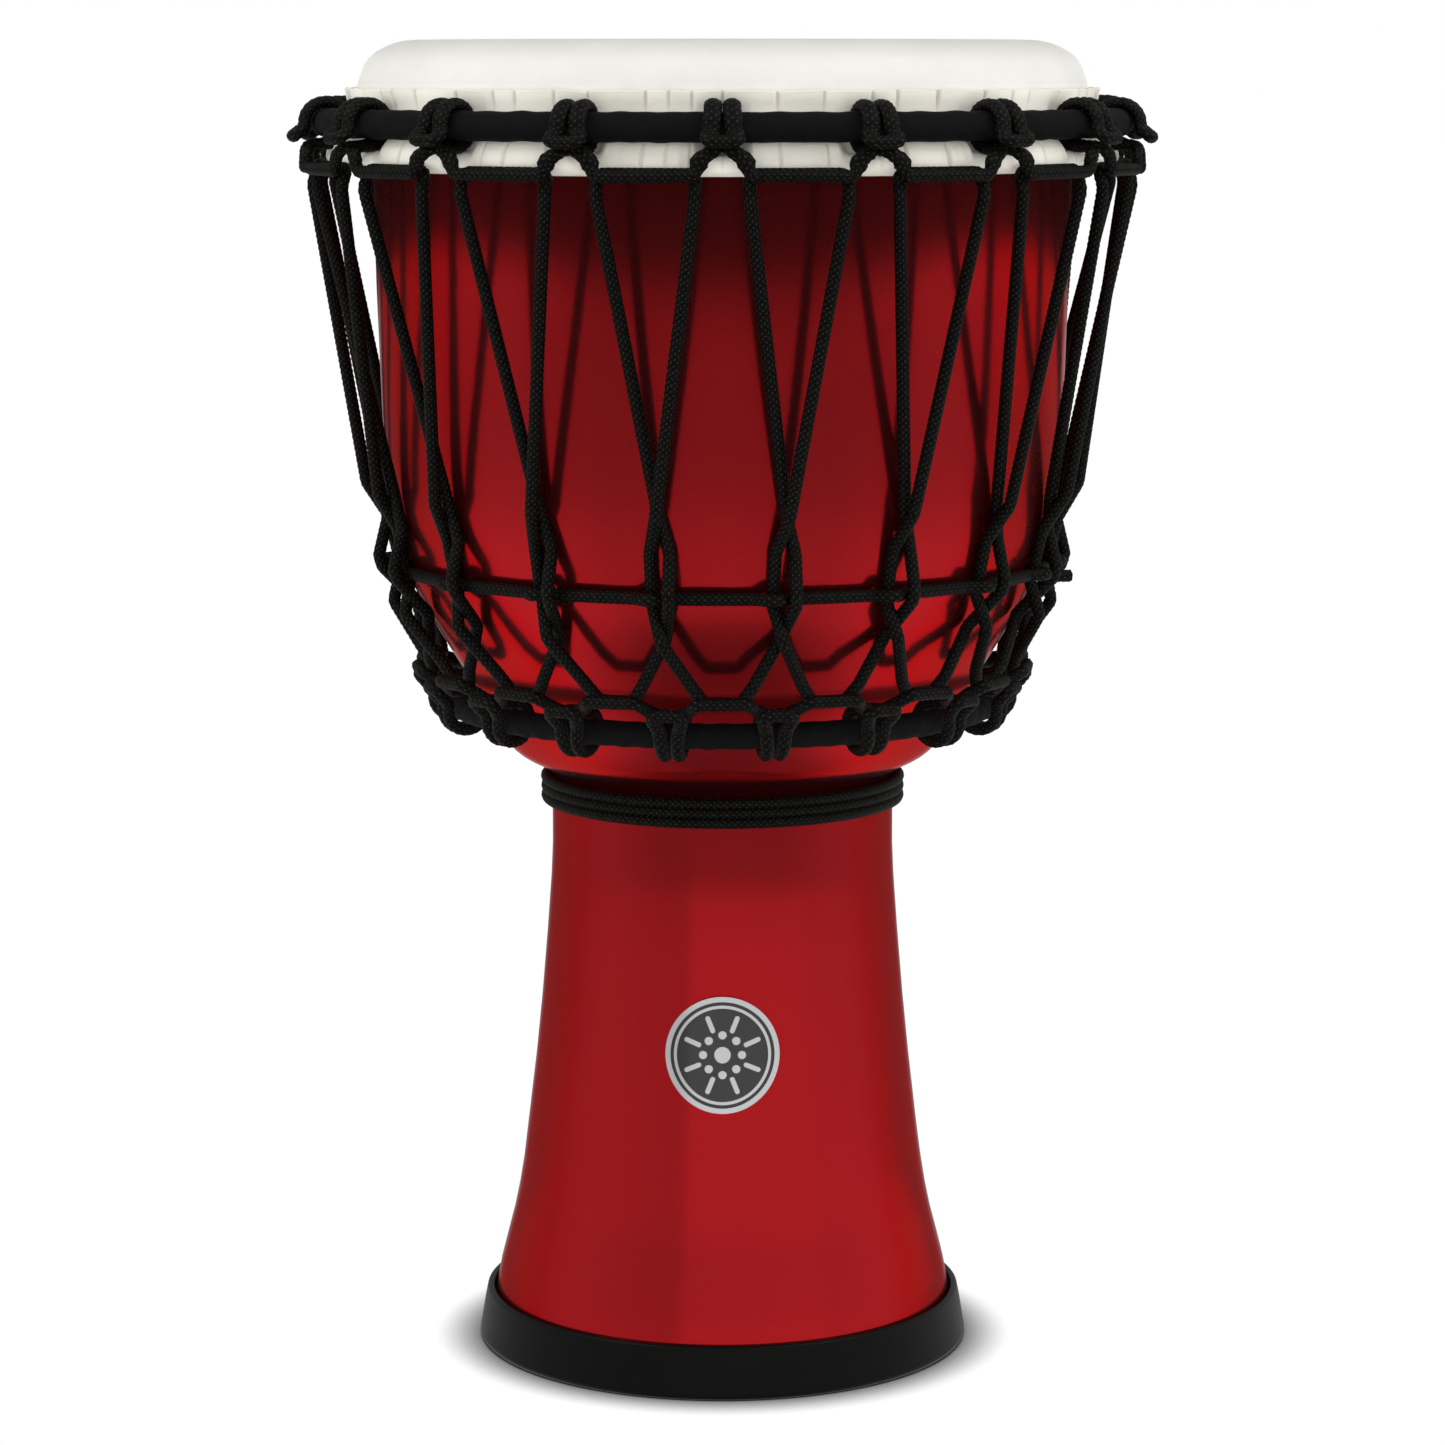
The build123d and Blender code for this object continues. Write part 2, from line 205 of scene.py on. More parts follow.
def grid_mesh(name, points, wrap_rows, wrap_columns, caps=False, size=(1.0, 1.0), values=None):
    """A mesh over a grid of points in millimetres. size is the extent of the UV map, in millimetres."""
    rows, columns = points.shape[:2]
    row_steps = rows if wrap_rows else rows - 1
    column_steps = columns if wrap_columns else columns - 1
    i, j = np.meshgrid(np.arange(row_steps), np.arange(column_steps), indexing="ij")
    i, j = i.ravel(), j.ravel()
    corner = [(i, j), (i + 1, j), (i + 1, j + 1), (i, j + 1)]
    quads = np.stack([(a % rows) * columns + b % columns for a, b in corner], 1)
    uvs = np.stack([np.stack([a / row_steps * size[0], b / column_steps * size[1]], 1) for a, b in corner], 1)
    places = points.reshape(-1, 3)
    loops = quads.ravel()
    starts = np.arange(len(quads)) * 4
    totals = np.full(len(quads), 4)
    uvs = uvs.reshape(-1, 2)
    if caps:
        for row, flip in ((0, False), (rows - 1, True)):
            rim = row * columns + np.arange(columns)
            rim = rim[::-1] if flip else rim
            starts = np.append(starts, len(loops))
            totals = np.append(totals, columns)
            loops = np.concatenate([loops, rim])
            uvs = np.concatenate([uvs, np.zeros((columns, 2))])
    mesh = bpy.data.meshes.new(name)
    mesh.vertices.add(len(places))
    mesh.vertices.foreach_set("co", (places * MM).astype(np.float32).ravel())
    mesh.loops.add(len(loops))
    mesh.loops.foreach_set("vertex_index", loops.astype(np.int32))
    mesh.polygons.add(len(starts))
    mesh.polygons.foreach_set("loop_start", starts.astype(np.int32))
    mesh.polygons.foreach_set("loop_total", totals.astype(np.int32))
    mesh.polygons.foreach_set("use_smooth", np.ones(len(starts), bool))
    mesh.update(calc_edges=True)
    layer = mesh.uv_layers.new(name="UVMap")
    layer.data.foreach_set("uv", uvs.astype(np.float32).ravel())
    # The values become the relief attribute. From it the cord material paints highlight on braid crests and
    # shade in grooves, the skin material paints real stains and shade along the creases, and the flag reads
    # its cover.
    if values is not None:
        attribute = mesh.attributes.new("relief", "FLOAT", "POINT")
        attribute.data.foreach_set("value", values.astype(np.float32).ravel())
    piece = bpy.data.objects.new(name, mesh)
    bpy.context.scene.collection.objects.link(piece)
    return piece


def waves(azimuths, turns, seed, counts, cross_counts, amount):
    """Smooth noise that closes on itself around the axis and around a tube."""
    random = np.random.default_rng(seed)
    total = np.zeros(np.broadcast(azimuths, turns).shape)
    for _ in range(amount):
        n = random.integers(*counts)
        m = random.integers(*cross_counts)
        total = total + np.sin(n * azimuths + m * turns + random.uniform(0, 2 * pi))
    return total / np.sqrt(amount)


# ---- materials

INPUT_NAMES = {"specular_ior_level": "Specular IOR Level"}


def new_material(name, color, roughness, metallic=0.0, **inputs):
    material = bpy.data.materials.new(name)
    material.use_nodes = True
    shader = material.node_tree.nodes["Principled BSDF"]
    shader.inputs["Base Color"].default_value = (*color, 1)
    shader.inputs["Roughness"].default_value = roughness
    shader.inputs["Metallic"].default_value = metallic
    for key, value in inputs.items():
        shader.inputs[INPUT_NAMES.get(key, key.replace("_", " ").title())].default_value = value
    return material, material.node_tree, shader


def add_node(tree, kind, **inputs):
    node = tree.nodes.new(kind)
    for key, value in inputs.items():
        node.inputs[key.replace("_", " ").title()].default_value = value
    return node


def place_texture(tree, kind, source, **inputs):
    """A texture node fed by a texture coordinate, such as Object or UV."""
    coordinate = tree.nodes.new("ShaderNodeTexCoord")
    texture = add_node(tree, kind, **inputs)
    tree.links.new(coordinate.outputs[source], texture.inputs["Vector"])
    return texture


def bump(tree, shader, height, distance, strength=1.0, before=None):
    node = add_node(tree, "ShaderNodeBump", strength=strength, distance=distance)
    tree.links.new(height, node.inputs["Height"])
    if before is not None:
        tree.links.new(before.outputs["Normal"], node.inputs["Normal"])
    tree.links.new(node.outputs["Normal"], shader.inputs["Normal"])
    return node


def ramp(tree, source, stops):
    """A colour ramp from (position, colour) stops."""
    node = tree.nodes.new("ShaderNodeValToRGB")
    elements = node.color_ramp.elements
    while len(elements) < len(stops):
        elements.new(0.5)
    for element, (position, color) in zip(elements, stops):
        element.position = position
        element.color = (*color, 1)
    tree.links.new(source, node.inputs["Fac"])
    return node


def math_node(tree, operation, *values):
    node = tree.nodes.new("ShaderNodeMath")
    node.operation = operation
    for socket, value in zip(node.inputs, values):
        if isinstance(value, (int, float)):
            socket.default_value = value
        else:
            tree.links.new(value, socket)
    return node.outputs["Value"]


def blend_colors(tree, factor, first, second, kind="MIX"):
    node = tree.nodes.new("ShaderNodeMixRGB")
    node.blend_type = kind
    if isinstance(factor, float):
        node.inputs["Fac"].default_value = factor
    else:
        tree.links.new(factor, node.inputs["Fac"])
    tree.links.new(first, node.inputs["Color1"])
    tree.links.new(second, node.inputs["Color2"])
    return node.outputs["Color"]


def grey_ramp(tree, source, stops):
    return ramp(tree, source, [(position, (value,) * 3) for position, value in stops]).outputs["Color"]


def around_ramp(tree, turn, stops):
    """Brightness by azimuth in degrees, from -180 to 180."""
    return grey_ramp(tree, turn, [((azimuth + 180) / 360, value) for azimuth, value in stops])


def rise_ramp(tree, height, stops):
    """Brightness by the upward part of a direction, from -1 to 1."""
    return grey_ramp(tree, height, [((1 + rise) / 2, value) for rise, value in stops])


def make_cord_material():
    material, tree, shader = new_material("cord", (0.006, 0.006, 0.005), 0.6, specular_ior_level=0.12)
    relief = tree.nodes.new("ShaderNodeAttribute")
    relief.attribute_name = "relief"
    # Painted highlight and shade: the braid's crests are painted brighter and its grooves darker, on a cord
    # that is evenly black.
    braid_highlight_and_shade = ramp(tree, relief.outputs["Fac"], [(0.25, (0.0003, 0.0003, 0.0003)),
                                                (0.75, (0.0022, 0.0021, 0.0017)),
                                                (1.0, (0.038, 0.036, 0.029))])
    tree.links.new(braid_highlight_and_shade.outputs["Color"], shader.inputs["Base Color"])
    fibres = place_texture(tree, "ShaderNodeTexNoise", "Object", scale=2600.0, detail=3.0, roughness=0.7)
    bump(tree, shader, fibres.outputs["Fac"], 0.00012, 0.7)
    return material


def make_sleeve_material():
    material, tree, shader = new_material("sleeve_fabric", (0.004, 0.0038, 0.0038), 0.8,
                                          specular_ior_level=0.1)
    weave = place_texture(tree, "ShaderNodeTexWave", "UV", scale=1.1, distortion=1.5, detail=2.0)
    bump(tree, shader, weave.outputs["Fac"], 0.00006, 0.6)
    return material


def make_skin_material():
    """Pale on the playing surface, and creamier below the skirt's trimmed edge, where the cream is partly a
    real tint and partly painted light: brighter than the playing surface to make up for the shade under the
    crown ring.
    """
    material, tree, shader = new_material("skin", (0.75, 0.73, 0.68), 0.55, specular_ior_level=0.3)
    mottle = place_texture(tree, "ShaderNodeTexNoise", "Object", scale=28.0, detail=6.0, roughness=0.6)
    pale = ramp(tree, mottle.outputs["Fac"], [(0.3, (0.66, 0.65, 0.61)), (0.7, (0.74, 0.73, 0.70))])
    # Partly real tint, partly painted light: the cream is painted brighter than the pale playing surface, so
    # that the collar and skirt shaded by the crown ring look lit.
    cream_and_painted_fill = ramp(tree, mottle.outputs["Fac"], [(0.3, (0.82, 0.79, 0.69)), (0.7, (0.92, 0.90, 0.82))])
    place = tree.nodes.new("ShaderNodeNewGeometry")
    split = tree.nodes.new("ShaderNodeSeparateXYZ")
    tree.links.new(place.outputs["Position"], split.inputs["Vector"])
    height = add_node(tree, "ShaderNodeMapRange")
    height.inputs["From Min"].default_value = (SKIRT_TOP - 0.7) * MM
    height.inputs["From Max"].default_value = (SKIRT_TOP + 1.5) * MM
    tree.links.new(split.outputs["Z"], height.inputs["Value"])
    color = blend_colors(tree, height.outputs["Result"], cream_and_painted_fill.outputs["Color"], pale.outputs["Color"])
    # On the skirt the relief attribute holds real stains, which differ from panel to panel, and painted shade
    # along the creases between panels. Both are drawn in the stain colour.
    creases = tree.nodes.new("ShaderNodeAttribute")
    creases.attribute_name = "relief"
    stain = tree.nodes.new("ShaderNodeRGB")
    stain.outputs["Color"].default_value = (0.36, 0.31, 0.23, 1)
    color = blend_colors(tree, creases.outputs["Fac"], color, stain.outputs["Color"])
    tree.links.new(color, shader.inputs["Base Color"])
    grain = place_texture(tree, "ShaderNodeTexNoise", "Object", scale=700.0, detail=4.0)
    bump(tree, shader, grain.outputs["Fac"], 0.0001, 0.5)
    return material


def make_lacquer_material():
    material, tree, shader = new_material("red_lacquer", (0.49, 0.0095, 0.0135), 0.16, 0.96,
                                          specular_ior_level=0.15, specular_tint=(0.75, 0.12, 0.13, 1),
                                          coat_weight=0.22, coat_roughness=0.5)
    grain = place_texture(tree, "ShaderNodeTexNoise", "Object", scale=90.0, detail=1.0)
    bump(tree, shader, grain.outputs["Fac"], 0.00002, 0.3)
    return material


def make_rubber_material():
    material, tree, shader = new_material("foot_rubber", (0.0022, 0.002, 0.0018), 0.38,
                                          specular_ior_level=0.11)
    grain = place_texture(tree, "ShaderNodeTexNoise", "Object", scale=900.0, detail=3.0)
    bump(tree, shader, grain.outputs["Fac"], 0.00005, 0.4)
    return material


def make_plain_material(name, color, roughness, metallic=0.0, **inputs):
    """A finish with only a faint grain."""
    material, tree, shader = new_material(name, color, roughness, metallic, **inputs)
    grain = place_texture(tree, "ShaderNodeTexNoise", "Object", scale=1500.0, detail=2.0)
    bump(tree, shader, grain.outputs["Fac"], 0.00001, 0.3)
    return material


MATERIALS = {
    "red_lacquer": make_lacquer_material(),
    "foot_rubber": make_rubber_material(),
    "skin": make_skin_material(),
    "ring_steel": make_plain_material("ring_steel", (0.5, 0.5, 0.52), 0.35, 1.0),
    "sleeve_fabric": make_sleeve_material(),
    "cord": make_cord_material(),
    "badge_metal": make_plain_material("badge_metal", (0.78, 0.78, 0.79), 0.2, 1.0),
    "badge_black": make_plain_material("badge_black", (0.008, 0.008, 0.009), 0.15, coat_weight=0.6),
    "adhesive": make_plain_material("adhesive", (0.7, 0.7, 0.68), 0.7),
}


def finish_piece(piece, slot, *replaced):
    piece.data.materials.append(MATERIALS[slot])
    if replaced:
        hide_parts(*replaced)
    return piece


# ---- cords

STRANDS = 6               # of the braid, each way round
BRAID = 1.5               # length of cord in which a strand passes one other
BRAID_DEPTH = 0.26        # millimetres from the grooves to the crests
WIDE, THIN = 1.38, 0.92   # how much wider and thinner a cord is where it is pressed flat
ROUND = 24                # points around a cord
STEP = 0.42               # millimetres between points along a cord


def braid_relief(turns, along):
    """Height of a braid's surface, 0 in the grooves and 1 on the crests."""
    a = STRANDS * turns / (2 * pi) + along / BRAID
    b = STRANDS * turns / (2 * pi) - along / BRAID
    across_a, across_b = np.sin(pi * (a % 1)), np.sin(pi * (b % 1))
    a_on_top = (np.floor(a) + np.floor(b)) % 2 == 0
    across = np.where(a_on_top, across_a, across_b)
    length = np.where(a_on_top, across_b, across_a)
    return across ** 0.8 * length ** 0.3


def make_cord(name, corners, radius=ROPE_R, closed=True, parts=1):
    """Braided cord along a bent path, in one or more pieces. Flat corners make it wider around the axis."""
    points, flats = bent_path(corners, closed)
    points, flats, length, steps = spaced(points, flats, STEP, closed, 4 if closed else 1)
    tangents, normals, sides = carried_frames(points, closed)
    turns = np.arange(ROUND) / ROUND * 2 * pi
    braids = max(1, round(length / BRAID))
    along = np.arange(len(points)) / steps * braids * BRAID
    relief = braid_relief(turns[None, :], along[:, None])
    reach = radius + BRAID_DEPTH * (relief - 0.6)
    offsets = (normals[:, None, :] * np.cos(turns)[None, :, None]
               + sides[:, None, :] * np.sin(turns)[None, :, None]) * reach[:, :, None]
    lateral = np.stack([-points[:, 1], points[:, 0], np.zeros(len(points))], 1)
    lateral /= np.linalg.norm(lateral, axis=1)[:, None]
    lateral -= tangents * np.sum(lateral * tangents, 1)[:, None]
    share = np.linalg.norm(lateral, axis=1)
    lateral /= np.maximum(share, 1e-6)[:, None]
    across = np.cross(tangents, lateral)
    flats = flats * np.clip(share * 2 - 0.8, 0, 1)
    for direction, factor in ((lateral, WIDE), (across, THIN)):
        part = np.sum(offsets * direction[:, None, :], 2)
        offsets = offsets + (part * (flats * (factor - 1))[:, None])[:, :, None] * direction[:, None, :]
    grid = points[:, None, :] + offsets
    if parts == 1:
        return [grid_mesh(name, grid, closed, True, not closed, (length, 2 * pi * radius), relief)]
    pieces = []
    edges = np.linspace(0, len(points), parts + 1).astype(int)
    for k in range(parts):
        rows = np.arange(edges[k], edges[k + 1] + 1) % len(points)
        if not closed and k == parts - 1:
            rows = rows[:-1]
        pieces.append(grid_mesh(f"{name}_{k + 1}", grid[rows], False, True, True,
                                (length / parts, 2 * pi * radius), relief[rows]))
    return pieces


def hitch(half, radius, height):
    """Both halves of a hitch at azimuth 0, from (offset, outwards, up, bend, flatness) of its right half."""
    corners = []
    for side, order in ((-1, half[::-1]), (1, half)):
        for offset, out, up, bend, flat in order:
            corners.append((beside(0, side * offset, radius + out, height + up), bend, flat))
    return corners


RISE_SHARE = 0.6          # of a hitch's error along the ring in degrees, its error in height in millimetres


def all_round(unit_corners, wobble=0.0, first=0.0, seed=1):
    """The corners of one unit at every hitch, each with a slight error of the hand."""
    random = np.random.default_rng(seed)
    corners = []
    for k in range(HITCHES):
        shift = random.normal(0, wobble, 2) if wobble else (0, 0)
        for point, bend, flat in unit_corners:
            moved = turned_by(point, first + k * PITCH + shift[0])
            moved[2] += shift[1] * RISE_SHARE
            corners.append((moved, bend, flat))
    return corners


STRAND = 2.1              # from a hitch's middle to each strand over the ring
BASE_STRAND = 1.65        # the strands of a bottom hitch nearly touch
TOP_CORNER, BASE_CORNER = 6.3, 7.2  # from a hitch's middle to where a span begins
SPAN_BEND = 9.0           # bend radius of the spans, and of the tension cord behind them
TOP_SPAN_R = CROWN_R + 4.9
TOP_SPAN_Z = node_box("top_loop_rope")[0][2] + ROPE_R
BASE_SPAN_R = BASE_R + 8.7
BASE_SPAN_Z = node_box("bottom_loop_rope")[1][2] - ROPE_R


def make_top_loops():
    """One cord with a cow hitch at every pitch of the crown ring, and a straight span between them."""
    orbit = CROWN_TUBE + ROPE_R
    unit_corners = hitch([
        (4.8, 8.1, -3.3, 1.55, 0.5),
        (2.5, 5.4, -1.2, 2.1, 1),
        (STRAND, orbit, orbit, orbit, 1),
        (STRAND, -orbit, orbit, orbit, 0.4),
        (STRAND, -orbit, -orbit, orbit, 0.4),
        (2.0, 4.2, -5.3, 1.8, 1),
        (5.0, 5.0, -7.3, 3.4, 1.2),
        (TOP_CORNER, TOP_SPAN_R - CROWN_R, TOP_SPAN_Z - CROWN_Z, 1.6, 0),
    ], CROWN_R, CROWN_Z)
    unit_corners.append((around(PITCH / 2, TOP_SPAN_R, TOP_SPAN_Z), SPAN_BEND, 0))
    return make_cord("top_loop_cord", all_round(unit_corners, 0.25, seed=11))


def make_bottom_loops():
    """The same around the bottom ring, half a pitch further on."""
    orbit = BASE_TUBE + ROPE_R
    unit_corners = hitch([
        (4.0, 8.4, 5.7, 1.55, 0.3),
        (2.3, 4.8, 1.8, 2.3, 0.3),
        (BASE_STRAND, orbit, -orbit, orbit, 0.2),
        (BASE_STRAND, -orbit, -orbit, orbit, 0.2),
        (STRAND, -orbit, orbit, orbit, 0.5),
        (STRAND, 4.6, 5.2, 1.8, 0.3),
        (5.4, 6.1, 6.9, 2.0, 0.2),
        (BASE_CORNER, BASE_SPAN_R - BASE_R, BASE_SPAN_Z - BASE_Z, 1.6, 0),
    ], BASE_R, BASE_Z)
    unit_corners.append((around(PITCH / 2, BASE_SPAN_R, BASE_SPAN_Z), SPAN_BEND, 0))
    return make_cord("bottom_loop_cord", all_round(unit_corners, 0.3, PITCH / 2, seed=12))


CROSS_TOP_Z, ROW_Z, CROSS_BASE_Z = 208.5, 189.4, 179.3
EYE_TOP_Z, HALF_EYE = 200.0, 1.4    # where the two strands run side by side, and half of that at the row
EYE = 2.3                 # from a column's middle to each strand between the crossings
LIFT = ROPE_R + 0.15      # middle of a cord that lies on the shell
OVER = LIFT + 2 * ROPE_R + 0.1      # middle of a cord that passes over another
ARCH = 0.8                # a bend cuts its corner, so the corner stands this much higher than the cord
OVER_TOP = OVER + ARCH + 0.1        # height of that corner at the upper crossing,
OVER_BASE = OVER + 2.4 * ARCH       # at the lower one, where the cord bends more,
OVER_ROW = OVER + 1.4 * ARCH        # and where it passes over the tuning row
BEHIND_TOP = (TOP_SPAN_R - 3.2, TOP_SPAN_Z + 0.4)     # radius and height of the tension cord behind the
BEHIND_BASE = (BASE_SPAN_R - 3.0, BASE_SPAN_Z - 0.2)  # top spans and behind the bottom spans
ENDS_APART = 0.15         # degrees between the cord's two ends
TOP_LEG, BASE_LEG = 6.2, 5.9        # from a hitch's middle to where the tension cord leaves the spans


def half_zigzag(side):
    """Corners from a top run down to the middle of a bottom run, on one side of a column at azimuth 0.

    side is 1 for the strand that crosses in front and goes left, and -1 for the one behind, mirrored."""
    at_top = OVER_TOP if side == 1 else LIFT + 0.1
    at_base = OVER_BASE if side == 1 else LIFT
    at_row = LIFT if side == 1 else OVER_ROW
    top = side * PITCH / 2
    return [
        (around(0, *BEHIND_TOP), SPAN_BEND, 0),
        (beside(top, -side * TOP_LEG, *BEHIND_TOP), 1.7, 0),
        (beside(top, -side * (TOP_LEG - 0.1), TOP_SPAN_R - 1.9, TOP_SPAN_Z - 4.1), 5.0, 0),
        (around(0, off_wall(CROSS_TOP_Z, at_top), CROSS_TOP_Z), 4.0, 0),
        (beside(0, -side * EYE, off_wall(EYE_TOP_Z, LIFT), EYE_TOP_Z), 3.0, 0),
        (beside(0, -side * EYE, off_wall(ROW_Z + HALF_EYE, at_row), ROW_Z + HALF_EYE), 2.0, 0),
        (beside(0, -side * EYE, off_wall(ROW_Z - HALF_EYE, at_row), ROW_Z - HALF_EYE), 2.0, 0),
        (around(0, off_wall(CROSS_BASE_Z, at_base), CROSS_BASE_Z), 3.0, 0),
        (beside(0, side * BASE_LEG, BASE_SPAN_R - 1.4, BASE_SPAN_Z + 3.6), 1.8, 0),
        (beside(0, side * (BASE_LEG + 2.5), *BEHIND_BASE), 1.7, 0),
        (around(side * PITCH / 2, *BEHIND_BASE), SPAN_BEND, 0),
    ]


def make_tension_cord():
    """One cord that zigzags between the top and bottom spans, with its two ends together at the back."""
    down = half_zigzag(1)
    up = [(turned_by(point, PITCH), bend, flat) for point, bend, flat in half_zigzag(-1)[-2:0:-1]]
    corners = all_round(down + up, 0.0, 180 - PITCH / 2)
    start, bend, flat = corners[0]
    corners.append((turned_by(start, -ENDS_APART), bend, flat))
    return make_cord("tension_cord", corners, closed=False, parts=3)


ROW_START = 90.0          # azimuth of the column where the tuning row begins and ends


def make_tuning_row():
    """A cord woven over one strand and under the other of each column, with a tucked-in tail at its end."""
    low = LIFT + 0.15
    corners = []
    for k in range(HITCHES):
        column = ROW_START + k * PITCH
        for offset, lift in ((-6.5, low), (-EYE, OVER + 1.5 * ARCH), (EYE, LIFT), (6.5, low), (11.0, low)):
            corners.append((beside(column, offset, off_wall(ROW_Z, lift), ROW_Z), 2.2, 0))
    end = ROW_START + 360
    corners += [(beside(end, -7.5, off_wall(ROW_Z, LIFT + 0.3), ROW_Z - 3.2), 3.0, 0),
                (beside(end, -5.0, off_wall(ROW_Z, 7.0), ROW_Z - 3.4), 0, 0)]
    return make_cord("tuning_row_cord", corners, closed=False)


def snug(height, radius):
    """Where the middle of a cord that lies against the shell is, at a height."""
    tilts = np.radians(np.arange(-90, 91, 10))
    return max(wall_radius(height + radius * sin(t)) + radius * cos(t) for t in tilts) + CLEAR


WRAP_R, WRAP_TURNS = 1.3, 3
WRAP_STEP = 15            # degrees between the corners of the neck wrap
WRAP_RISE = 3             # corners over which a turn steps up to the next
WRAP_BEND = 0.88          # bend radius at those corners, as a share of the wrap's radius


def make_neck_wrap():
    """Flat turns around the neck that step up at the back."""
    low, high = node_box("neck_wrap_rope")
    pitch = (high[2] - low[2] - 2 * WRAP_R) / (WRAP_TURNS - 1 / WRAP_RISE)
    turn = 360 // WRAP_STEP
    corners = []
    for k in range(WRAP_TURNS * turn - 1):
        rise = max(0, k % turn + WRAP_RISE - turn) / WRAP_RISE
        height = low[2] + WRAP_R + (k // turn + rise) * pitch
        radius = snug(height, WRAP_R) / cos(radians(WRAP_STEP / 2))
        corners.append((around(180 + k * WRAP_STEP, radius, height), radius * WRAP_BEND, 0))
    return make_cord("neck_wrap_cord", corners, WRAP_R, closed=False)


# ---- fabric sleeves

def make_sleeve(name, node, hitches_at, seam_angle, seed):
    """A wrinkled fabric tube around a ring, pinched by each hitch and sewn along one side."""
    radius, height, tube = ring_of(node)
    rows, columns = 1200, 28
    azimuths = np.arange(rows)[:, None] / rows * 2 * pi
    turns = np.arange(columns)[None, :] / columns * 2 * pi
    wrinkles = waves(azimuths, turns, seed, (25, 110), (-3, 4), 14)
    hitched = np.cos((azimuths - radians(hitches_at)) * HITCHES)
    pinch = hitched ** 8 * (hitched > 0)
    seam = np.exp(-((turns - radians(seam_angle)) / 0.16) ** 2) * (1 + 0.4 * np.sin(azimuths * 260))
    reach = tube - 0.02 + 0.09 * wrinkles * (1 - 0.7 * pinch) - 0.12 * pinch + 0.28 * seam
    profile = np.stack([radius + reach * np.cos(turns), height + reach * np.sin(turns) + 0 * azimuths], 2)
    return grid_mesh(name, turned_grid(profile, azimuths), True, True, size=(2 * pi * radius, 2 * pi * tube))


# ---- drum head

def profile_points(corners, spacing):
    """Points at even steps along a line in the half section, from (radius, height, bend radius) corners."""
    points, flats = bent_path([(np.array([r, 0.0, z]), bend, 0) for r, z, bend in corners], closed=False)
    even = spaced(points, flats, spacing, False)[0]
    return even[:, [0, 2]]


def even_profile(corners, steps):
    """A profile as a fixed number of even steps, so that two of them can be mixed."""
    points = profile_points(corners, 0.1)
    along = np.linspace(0, len(points) - 1, steps)
    return np.stack([np.interp(along, np.arange(len(points)), points[:, axis]) for axis in range(2)], 1)


def parallel_points(points, distance):
    """The line at a fixed distance to the right of a profile."""
    ways = np.gradient(points, axis=0)
    ways /= np.linalg.norm(ways, axis=1)[:, None]
    return points + np.stack([ways[:, 1], -ways[:, 0]], 1) * distance


def pleats(azimuths, seed):
    """Panels of a gathered sheet: how far they stand out, how stained they are, and the creases between."""
    random = np.random.default_rng(seed)
    edges = [0.0]
    while edges[-1] < 356.0:
        edges.append(edges[-1] + random.uniform(3.2, 9.0))
    edges[-1] = 360.0
    edges = np.radians(edges)
    panels = len(edges) - 1
    at = np.clip(np.searchsorted(edges, azimuths, side="right") - 1, 0, panels - 1)
    along = (azimuths - edges[at]) / (edges[at + 1] - edges[at])
    tilt, stain = random.uniform(-0.5, 0.5, panels), random.uniform(0, 0.18, panels)
    stand = 0.5 + tilt[at] * (2 * along - 1) + 0.3 * np.sin(pi * along)
    near = np.minimum(azimuths - edges[at], edges[at + 1] - azimuths)
    crease = np.exp(-(near / radians(0.22)) ** 2)
    return stand, stain[at], crease


def turned_grid(profile, azimuths):
    """A grid of points around the axis, from profiles that may differ at each azimuth."""
    radius, height = profile[..., 0], profile[..., 1]
    return np.stack([radius * np.sin(azimuths), -radius * np.cos(azimuths), height], 2)


def sheet(profile):
    """The outline of a sheet, along its front face and back along its back face."""
    back = parallel_points(profile, SKIN)[::-1]
    return np.concatenate([profile, back])


def make_head():
    """The playing surface, the rolled edge and the collar down to below the flesh ring."""
    bend = FLESH_TUBE + CLEAR
    profile = profile_points([(0.1, HEIGHT, 0), (80.1, HEIGHT, 16), (87.4, HEIGHT - 4.1, 8),
                              (COLLAR, HEIGHT - 12, 18), (COLLAR, FLESH_Z + 3.75, 4),
                              (NEAR, FLESH_Z + 0.75, 1.4), (NEAR, UNDER, bend),
                              (FLESH_R + 0.6, UNDER, 0)], 0.9)
    outline = sheet(profile)
    rows = 900
    azimuths = np.arange(rows)[:, None] / rows * 2 * pi
    grid = np.repeat(outline[None], rows, 0)
    low = np.clip((HEIGHT - 3 - grid[..., 1]) / 14, 0, 1)
    grid[..., 0] += 0.10 * low * waves(azimuths, 0 * azimuths, 5, (40, 140), (0, 1), 8)
    return grid_mesh("drum_head_skin", turned_grid(grid, azimuths), True, False,
                     size=(2 * pi * COLLAR, 150))


EDGE_FROM, WRAP_TO = 299, 297       # heights where the pleats of the upper edge begin, and where the part
                                    # that wraps the flesh ring ends


